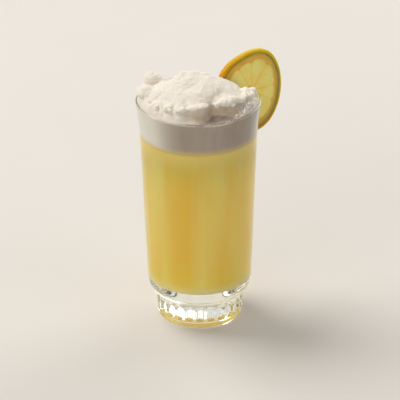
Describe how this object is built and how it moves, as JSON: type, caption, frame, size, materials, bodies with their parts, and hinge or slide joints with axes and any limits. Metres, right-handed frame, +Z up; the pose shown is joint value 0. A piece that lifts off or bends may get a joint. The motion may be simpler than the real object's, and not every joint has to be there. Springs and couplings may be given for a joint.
{
  "type": "glass of derby fizz",
  "caption": "Tall flared tumbler on a fluted foot, filled with cloudy yellow fizz under a heap of white foam, with a lemon slice on its lip.",
  "frame": {"origin": "centre of the foot's underside, on the plane that the glass stands on", "axes": "+Z up along the axis of the glass, -Y towards the viewer, +X to the right; the lemon slice sits at the back right"},
  "size_m": [0.0876, 0.0795, 0.162],
  "materials": {
    "glass": "clear pressed soda-lime glass, fire-polished",
    "drink": "cloudy, pale golden yellow",
    "foam": "matt, fine-bubbled egg-white foam",
    "lemon": "moist cut flesh with an oily yellow rind"
  },
  "bodies": {
    "root": {"glass": "glass", "drink": "drink", "foam": "foam", "lemon_slice": "lemon"}
  },
  "joints": []
}
